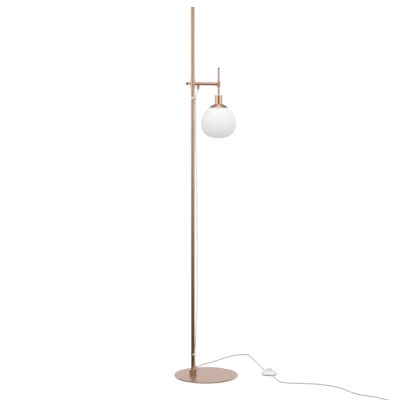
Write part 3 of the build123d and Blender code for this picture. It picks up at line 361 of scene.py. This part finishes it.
def metal(name, colour, roughness, grain, centre=(0, 0, 0), bump=0.1):
    """Satin metal with a fine grain: noise drawn out along x or z, or read from the distance to a
    centre for a turned or spun face; the grain varies tone, roughness and a very shallow bump."""
    material = bpy.data.materials.new(name)
    tree, shader, add, link = node_set(material)
    shader.inputs["Metallic"].default_value = 1.0
    place = add("ShaderNodeTexCoord")
    mapping = add("ShaderNodeMapping")
    mapping.inputs["Location"].default_value = tuple(-c for c in centre)
    link(place.outputs["Object"], mapping.inputs["Vector"])
    source = mapping.outputs[0]
    scale = {"x": (4, 400, 400), "z": (400, 400, 4), "spun": (900, 1, 1)}[grain]
    if grain == "spun":
        flat = add("ShaderNodeVectorMath", operation="MULTIPLY")
        flat.inputs[1].default_value = (1, 1, 0)
        reach = add("ShaderNodeVectorMath", operation="LENGTH")
        link(source, flat.inputs[0])
        link(flat.outputs[0], reach.inputs[0])
        joined = add("ShaderNodeCombineXYZ")
        link(reach.outputs["Value"], joined.inputs[0])
        source = joined.outputs[0]
    size = add("ShaderNodeVectorMath", operation="MULTIPLY")
    size.inputs[1].default_value = scale
    link(source, size.inputs[0])
    lines = noise(add, link, size.outputs[0], 3.0, 6.0)
    cloud = noise(add, link, place.outputs["Object"], 14.0, 3.0)
    worn = add("ShaderNodeMix", data_type="FLOAT", in_0=0.35)
    link(lines, worn.inputs[2])
    link(cloud, worn.inputs[3])
    darker, lighter = [c * 0.97 for c in colour], [min(c * 1.03, 1) for c in colour]
    tone = mixed(add, link, worn.outputs[0], darker, lighter)
    link(tone, shader.inputs["Base Color"])
    matt = add("ShaderNodeMapRange", in_1=0.25, in_2=0.75, in_3=roughness - 0.02, in_4=roughness + 0.02)
    link(worn.outputs[0], matt.inputs[0])
    link(matt.outputs[0], shader.inputs["Roughness"])
    relief(add, link, shader, lines, bump, 0.000005)
    return material


dress(metal("pin_metal", (0.80, 0.79, 0.77), 0.16, "x"), "plug_pin_left", "plug_pin_right")

# ---------------------------------------------------------------- foot switch
# A round foot switch lying on the floor: a low drum and a conical cover, moulded in white, with a
# big push button that stands on a coil spring. Two screws hold it together from below.
SWITCH_WHITE = (0.76, 0.76, 0.757)
dress(moulding("switch_plastic", SWITCH_WHITE, 0.42), "switch_cover")
# The base's lowest band gets a painted shadow, for the shade under the cover's rim.
dress(moulding("switch_base_painted_shadow", SWITCH_WHITE, 0.42, foot=0.0048), "switch_base")
spring_steel = metal("spring_steel", (0.66, 0.66, 0.67), 0.25, "z")
dress(spring_steel, "switch_screw_left", "switch_screw_right")
SPRING_R, WIRE_R, SPRING_TURNS, SPRING_STEPS = 0.0065, 0.0005, 5, 240
solid_spring = node["switch_spring"]
heights = [(solid_spring.matrix_world @ vert.co).z for vert in solid_spring.data.vertices]
spring_low, spring_high = min(heights) + WIRE_R, max(heights) - WIRE_R
winding = np.linspace(0, 2 * pi * SPRING_TURNS, SPRING_STEPS)
spring_line = np.c_[SWITCH + SPRING_R * np.c_[np.cos(winding), np.sin(winding)],
                    np.linspace(spring_low, spring_high, SPRING_STEPS)]
spring = tube("switch_spring_wire", spring_line, WIRE_R, spring_steel, 8)
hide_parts("switch_spring")
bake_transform(spring)


def turned(name, profile, centre, material, axis="z", sides=96, wave=None):
    """A turned form: each profile point (radius, height along the axis) makes a ring of points about
    the axis, and wave(angle, row) may move the radius."""
    profile = np.asarray(profile, float)
    turn = np.linspace(0, 2 * pi, sides, endpoint=False)
    radius = np.repeat(profile[:, :1], sides, 1)
    if wave is not None:
        rows = np.arange(len(profile))[:, None]
        radius = radius + wave(turn[None, :], rows) * (profile[:, :1] > 1e-6)
    a, b, h = radius * np.cos(turn), radius * np.sin(turn), np.repeat(profile[:, 1:], sides, 1)
    grid = np.stack([a, b, h] if axis == "z" else [h, a, b], -1) + np.array(centre)
    return surface(name, grid, material)


def rounded(corners, radius, steps=5):
    """A profile through the corners with each inner corner replaced by a quadratic curve that starts
    and ends at the given distance from it, or at 0.45 of the shorter side."""
    points = np.asarray(corners, float)
    out = [points[:1]]
    share = np.linspace(0, 1, steps)[:, None]
    for before, here, after in zip(points, points[1:], points[2:]):
        reach = min(radius, 0.45 * np.linalg.norm(here - before), 0.45 * np.linalg.norm(after - here))
        start = here + (before - here) / np.linalg.norm(before - here) * reach
        end = here + (after - here) / np.linalg.norm(after - here) * reach
        out.append(start * (1 - share) ** 2 + 2 * here * share * (1 - share) + end * share**2)
    return np.vstack([*out, points[-1:]])


# The button is moulded a little darker than the cover: painted shade, for its grey sides.
button = turned("switch_button_cap", rounded([
    (0.0001, 0.01414), (0.0151, 0.01414), (0.0151, 0.01574), (0.0135, 0.01574), (0.0135, 0.0260),
    (0.0108, 0.0260), (0.0001, 0.0251),
], 0.0012), (*SWITCH, 0), material=moulding("button_plastic_shaded", (0.70, 0.70, 0.695), 0.35))
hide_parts("switch_button")
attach(button, "button")

# ---------------------------------------------------------------- base
# A heavy round steel plate, copper plated and polished to satin, on a thin foam pad. One screw from
# below holds the pole's socket.
COPPER = (0.86, 0.61, 0.465)
dress(metal("plate_copper", (0.885, 0.65, 0.53), 0.34, "spun", bump=0.03), "base_plate")
dress(moulding("foam", (0.035, 0.033, 0.03), 0.9, 300.0, 1.0), "base_pad")
zinc = metal("zinc", (0.62, 0.62, 0.62), 0.3, "spun", (POLE_X, 0, 0))
dress(zinc, "base_screw", "socket_grub", "pole_joiner", "thumb_screw", "arm_spigot", "collar_grub",
      "stem_nut")

# ---------------------------------------------------------------- pole
# Two steel tubes, copper plated with a fine lengthwise satin, joined by a hidden inner tube, in a
# turned socket at the foot and closed by a plug at the top.
dress(metal("pole_copper", COPPER, 0.14, "z", bump=0.04), "pole_lower")
# The upper tube gets a paler copper than the lower one: painted light, for the brighter light on the
# upper pole.
dress(metal("pole_copper_upper_lit", (0.88, 0.66, 0.525), 0.17, "z", bump=0.04), "pole_upper")
dress(metal("turned_copper", (0.55, 0.41, 0.25), 0.18, "spun", (POLE_X, 0, 0)), "pole_socket")
dress(metal("cap_copper", (0.70, 0.55, 0.46), 0.3, "spun", (POLE_X, 0, 0)), "pole_end_cap")

# ---------------------------------------------------------------- clamp
# A sleeve that slides and turns on a slit nylon liner, and a turned thumb screw with a knurled head
# that presses the liner on the pole.
dress(metal("sleeve_copper", (0.88, 0.64, 0.50), 0.12, "z", bump=0.03), "clamp_sleeve")
dress(moulding("nylon", (0.50, 0.42, 0.37), 0.4, glow=0.2), "clamp_liner", "thumb_tip")
knob_start, knob_end = -0.0120, -0.0285
HEAD_ROWS, KNURLS, KNURL_DEPTH = (19, 31), 40, 0.00012
knob = turned("thumb_knob", rounded([
    (0.0001, knob_start), (0.0032, knob_start), (0.0032, knob_start - 0.0026), (0.0040, -0.0178),
    (0.0061, -0.0226), (0.0072, -0.0230), (0.0075, -0.0236), (0.0075, -0.0275), (0.0068, knob_end),
    (0.0001, knob_end),
], 0.0008, 4), (POLE_X, 0, 1.283), axis="x", sides=240,
    wave=lambda turn, row: (KNURL_DEPTH * np.cos(KNURLS * turn)
                            * ((row > HEAD_ROWS[0]) & (row < HEAD_ROWS[1]))),
    material=metal("knob_copper", (0.58, 0.46, 0.40), 0.25, "x"))
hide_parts("clamp_knob")
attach(knob, "knob")

# ---------------------------------------------------------------- arm, gland, stem and collar
# A short plated tube between the sleeve and a turned collar on the thin stem. The cord enters it
# from below through a plated gland with a cloudy plastic grip.
dress(metal("arm_copper", COPPER, 0.15, "x", bump=0.04), "arm_tube")
dress(metal("gland_copper", COPPER, 0.24, "spun", (GLAND_X, 0, 0)), "gland_body")
dress(moulding("cloudy_grip", (0.42, 0.37, 0.34), 0.35, glow=0.4), "gland_grip")
STEM_X = 0.055
dress(metal("collar_copper", COPPER, 0.24, "spun", (STEM_X, 0, 0)), "stem_collar")
dress(metal("stem_copper", (0.86, 0.71, 0.63), 0.22, "z", bump=0.03), "stem_tube")
dress(moulding("dark_cap", (0.20, 0.15, 0.125), 0.45), "stem_end_cap")
dress(moulding("inner_wire", (0.78, 0.78, 0.76), 0.4), "inner_lead")

# ---------------------------------------------------------------- lamp cup, cap and holder
# A drawn cup and a spun flare, both plated, over a white lamp holder with a brass screw shell.
dress(metal("cup_copper", (0.92, 0.665, 0.52), 0.10, "z", bump=0.03), "lamp_cup")
flare_copper = metal("flare_copper", (0.90, 0.70, 0.60), 0.17, "spun", (STEM_X, 0, 0), bump=0.03)
CAP_LOW, CAP_TOP, CAP_SHEET, CAP_RISE = 1.1835, 1.1970, 0.0010, 0.0013
bow = np.linspace(0, 1, 13)[:, None]


def flare(inner_r, inner_z, rim_r, rim_z):
    """A line from the cup down to the rim, bowed up in the middle."""
    line = np.array([inner_r, inner_z]) * (1 - bow) + np.array([rim_r, rim_z]) * bow
    return line + np.array([0.45, 1.0]) * CAP_RISE * 4 * bow * (1 - bow)


cap = turned("domed_cap", np.vstack([
    [(0.0178, CAP_TOP - CAP_SHEET), (0.0178, CAP_TOP)],
    flare(0.0180, CAP_TOP, 0.0397, CAP_LOW + 0.0017),
    [(0.0400, CAP_LOW + 0.0012), (0.0400, CAP_LOW), (0.0392, CAP_LOW)],
    flare(0.0178, CAP_TOP - CAP_SHEET, 0.0392, CAP_LOW + 0.0009)[::-1],
]), (STEM_X, 0, 0), material=flare_copper)
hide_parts("shade_cap")
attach(cap, "arm")
dress(moulding("holder_plastic", (0.80, 0.80, 0.78), 0.4), "holder_body", "gallery_boss", "globe_ring")
dress(metal("brass", (0.78, 0.62, 0.33), 0.3, "z"), "holder_shell", "holder_contact")

# ---------------------------------------------------------------- globe and bulb
# Mouth-blown opal glass, satin etched outside, round at the top and flattened below. Inside hangs a
# small frosted bulb. GLOBE_UP and GLOBE_DOWN are the heights over and under the widest place.
GLOBE_R, GLOBE_UP, GLOBE_DOWN, GLOBE_POWER = 0.075, 0.083, 0.0615, 2.3
GLASS, CAP_SEAT_R = 0.0025, 0.0390
GLOBE_Z = CAP_LOW - GLOBE_UP * (1 - (CAP_SEAT_R / GLOBE_R) ** 2) ** 0.5


def globe_outline(inset, mouth, steps=40):
    """Half an ellipse over the widest place and a superellipse under it, both drawn in by inset, from
    the bottom to the mouth."""
    wide, down = GLOBE_R - inset, GLOBE_DOWN - inset
    low = np.linspace(0, pi / 2, steps, endpoint=False)
    high = np.linspace(0, np.arccos(mouth / wide), steps)
    power = 2 / GLOBE_POWER
    below = np.c_[wide * np.sin(low) ** power, GLOBE_Z - down * np.cos(low) ** power]
    above = np.c_[wide * np.cos(high), GLOBE_Z + (GLOBE_UP - inset) * np.sin(high)]
    return np.vstack([below, above])


outside = globe_outline(0.0, 0.02625)
inside = globe_outline(GLASS, 0.0250)
lip = (0.0256, outside[-1, 1] + 0.0001)
opal = bpy.data.materials.new("opal_glass")
tree, shader, add, link = node_set(opal)
shader.inputs["IOR"].default_value = 1.5
shader.inputs["Roughness"].default_value = 0.57
shader.inputs["Coat Weight"].default_value = 0.08
shader.inputs["Coat Roughness"].default_value = 0.5
place = add("ShaderNodeTexCoord").outputs["Object"]
cloud = noise(add, link, place, 22.0, 3.0)
link(mixed(add, link, cloud, (0.732, 0.730, 0.729), (0.756, 0.754, 0.753)), shader.inputs["Base Color"])
relief(add, link, shader, noise(add, link, place, 2600.0), 0.03, 0.0001)
globe = turned("opal_globe", np.vstack([[(0.00005, outside[0, 1])], outside[1:], [lip], inside[:0:-1],
                                        [(0.00005, inside[0, 1])]]),
               (STEM_X, 0, 0), sides=128, material=opal)
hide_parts("glass_globe")
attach(globe, "arm")
dress(moulding("bulb_glass", (0.84, 0.84, 0.82), 0.25, coat=0.5, glow=0.5), "bulb_glass")
dress(metal("bulb_cap", (0.75, 0.75, 0.75), 0.3, "spun", (STEM_X, 0, 0)), "bulb_cap")

# ---------------------------------------------------------------- cord clips
# Two springy clips of milky plastic: a C that snaps on the pole and a loop for the cord.
clip_skin = bpy.data.materials.new("clear_clip")
tree, shader, add, link = node_set(clip_skin)
shader.inputs["IOR"].default_value = 1.49
shader.inputs["Transmission Weight"].default_value = 0.2
shader.inputs["Coat Weight"].default_value = 0.4
cloud = noise(add, link, add("ShaderNodeTexCoord").outputs["Object"], 120.0)
link(mixed(add, link, cloud, (0.78, 0.76, 0.74), (0.86, 0.84, 0.82)), shader.inputs["Base Color"])
matt = add("ShaderNodeMapRange", in_3=0.16, in_4=0.26)
link(cloud, matt.inputs[0])
link(matt.outputs[0], shader.inputs["Roughness"])
dress(clip_skin, "clip_upper", "clip_lower")

# ---------------------------------------------------------------- studio
# A white floor and background, and three soft lamps. The polished copper mirrors neither, but a room
# painted on the world: pale walls with grey at the sides, a dark strip where the camera stands, a
# plum ceiling with a pale middle, and a dark floor in front.


def direct_rays(add, link):
    """The ray types, and 1 for what the camera sees, straight or through clear plastic."""
    rays = add("ShaderNodeLightPath")
    seen = add("ShaderNodeMath", operation="MAXIMUM")
    link(rays.outputs["Is Camera Ray"], seen.inputs[0])
    link(rays.outputs["Is Transmission Ray"], seen.inputs[1])
    return rays, seen.outputs[0]


floor_mesh = bpy.data.meshes.new("floor")
floor_mesh.from_pydata([(-6, -1.9, 0), (7, -1.9, 0), (7, 9, 0), (-6, 9, 0)], [], [(0, 1, 2, 3)])
floor = bpy.data.objects.new("floor", floor_mesh)
bpy.context.collection.objects.link(floor)
floor.visible_glossy = False
paper = bpy.data.materials.new("floor_paper")
tree, shader, add, link = node_set(paper)
shader.inputs["Base Color"].default_value = (0.70, 0.70, 0.70, 1)
shader.inputs["Roughness"].default_value = 0.9
shine = add("ShaderNodeEmission")
shine.inputs["Strength"].default_value = 1.15
rays, seen = direct_rays(add, link)
share = add("ShaderNodeMath", operation="MULTIPLY", in_1=0.72)
link(seen, share.inputs[0])
cover = add("ShaderNodeMixShader")
link(share.outputs[0], cover.inputs[0])
link(shader.outputs[0], cover.inputs[1])
link(shine.outputs[0], cover.inputs[2])
link(cover.outputs[0], tree.nodes["Material Output"].inputs["Surface"])
floor_mesh.materials.append(paper)

world = bpy.data.worlds.new("studio")
bpy.context.scene.world = world
tree, shader, add, link = node_set(world)
look = add("ShaderNodeTexCoord")


def along(axis):
    """How far a direction of the world points along an axis, from -1 to 1."""
    share = add("ShaderNodeVectorMath", operation="DOT_PRODUCT")
    share.inputs[1].default_value = tuple(axis)
    link(look.outputs["Generated"], share.inputs[0])
    return share.outputs["Value"]


def fade(value, low, high):
    """0 at low and 1 at high, straight between them and level beyond."""
    scale = add("ShaderNodeMapRange", in_1=low, in_2=high)
    link(value, scale.inputs[0])
    return scale.outputs[0]


def both(first, second):
    share = add("ShaderNodeMath", operation="MULTIPLY")
    link(first, share.inputs[0])
    link(second, share.inputs[1])
    return share.outputs[0]


def blend(factor, below, above):
    return mixed(add, link, factor, below, above)


def round_ramp(value, stops):
    """Tones by the angle from the camera's side, in degrees, left negative."""
    ramp = add("ShaderNodeValToRGB")
    elements = ramp.color_ramp.elements
    spots = [(angle / 360 + 0.5, tint) for angle, tint in stops]
    while len(elements) < len(spots):
        elements.new(0.5)
    for entry, (spot, tint) in zip(elements, spots):
        entry.position = spot
        entry.color = (*tint, 1)
    link(value, ramp.inputs[0])
    return ramp.outputs[0]


camera_side = atan2(toward_camera[1], toward_camera[0])
front, up = along(toward_camera), along((0, 0, 1))
side = along((-toward_camera[1], toward_camera[0], 0))
around = add("ShaderNodeMath", operation="ARCTAN2")
link(side, around.inputs[0])
link(front, around.inputs[1])
azimuth = add("ShaderNodeMath", operation="MULTIPLY_ADD", in_1=0.5 / pi, in_2=0.5)
link(around.outputs[0], azimuth.inputs[0])
PALE, MIDDLE, GREY = (1.0, 0.985, 0.97), (0.62, 0.57, 0.53), (0.50, 0.48, 0.47)
DARK, PLUM, FRONT = (0.10, 0.058, 0.033), (0.24, 0.22, 0.24), (0.22, 0.17, 0.135)
level_room = round_ramp(azimuth.outputs[0], [
    (-180, PALE), (-140, PALE), (-112, GREY), (-90, GREY), (-78, PALE), (-38, PALE),
    (-27, MIDDLE), (-18, MIDDLE), (-12, DARK), (12, DARK), (18, MIDDLE), (27, MIDDLE),
    (38, PALE), (78, PALE), (90, GREY), (112, GREY), (140, PALE), (180, PALE),
])
upper_room = round_ramp(azimuth.outputs[0], [
    (-180, PLUM), (-62, PLUM), (-34, FRONT), (34, FRONT), (62, PLUM), (180, PLUM),
])
ahead = both(fade(up, -0.046, -0.018), fade(front, -0.35, 0.05))
level_room = blend(ahead, level_room, (0.50, 0.42, 0.375))
nearer = along((cos(camera_side - 0.35), sin(camera_side - 0.35), 0))
low_front = both(fade(up, -0.05, -0.20), fade(nearer, -0.6, 0.1))
room = blend(fade(up, 0.18, 0.42), level_room, upper_room)
overhead = along(0.35 * toward_camera + np.array([0, 0, 0.94]))
room = blend(fade(overhead, 0.66, 0.86), room, PALE)
room = blend(low_front, room, (0.070, 0.055, 0.026))
room = blend(fade(up, -0.88, -0.97), room, (0.90, 0.90, 0.90))
lights = {}
for name, strength in (("mirrored", 1.08), ("diffuse", 1.16), ("white", 1.0)):
    lights[name] = add("ShaderNodeBackground")
    lights[name].inputs["Strength"].default_value = strength
link(room, lights["mirrored"].inputs[0])
soft = blend(fade(up, -0.6, 0.05), (0.80, 0.80, 0.80), (1.0, 1.0, 1.0))
soft = blend(both(fade(front, -0.5, 0.8), fade(up, 0.9, 0.3)), soft, (0.90, 0.90, 0.90))
link(blend(fade(up, 0.15, 0.9), soft, (0.68, 0.68, 0.68)), lights["diffuse"].inputs[0])
lights["white"].inputs[0].default_value = (1, 1, 1, 1)
rays, seen = direct_rays(add, link)
bounced, chosen = add("ShaderNodeMixShader"), add("ShaderNodeMixShader")
link(rays.outputs["Is Glossy Ray"], bounced.inputs[0])
link(lights["diffuse"].outputs[0], bounced.inputs[1])
link(lights["mirrored"].outputs[0], bounced.inputs[2])
link(seen, chosen.inputs[0])
link(bounced.outputs[0], chosen.inputs[1])
link(lights["white"].outputs[0], chosen.inputs[2])
link(chosen.outputs[0], tree.nodes["World Output"].inputs["Surface"])

# Each lamp: degrees from the camera's side, distance and height in metres, size, watts
for name, aside, away, level, size, power in (
    ("soft_left", -57, 2.4, 2.2, 1.6, 10),
    ("soft_right", 54, 2.4, 1.8, 1.6, 10),
    ("overhead", 0, 0.3, 3.5, 3.0, 26),
):
    lamp = bpy.data.lights.new(name, "AREA")
    lamp.size = size
    lamp.energy = power
    box = bpy.data.objects.new(name, lamp)
    way = camera_side + radians(aside)
    box.location = (away * cos(way), away * sin(way), level)
    box.rotation_euler = (radians(80) if aside else 0, 0, way + pi / 2)
    box.visible_glossy = False
    bpy.context.collection.objects.link(box)
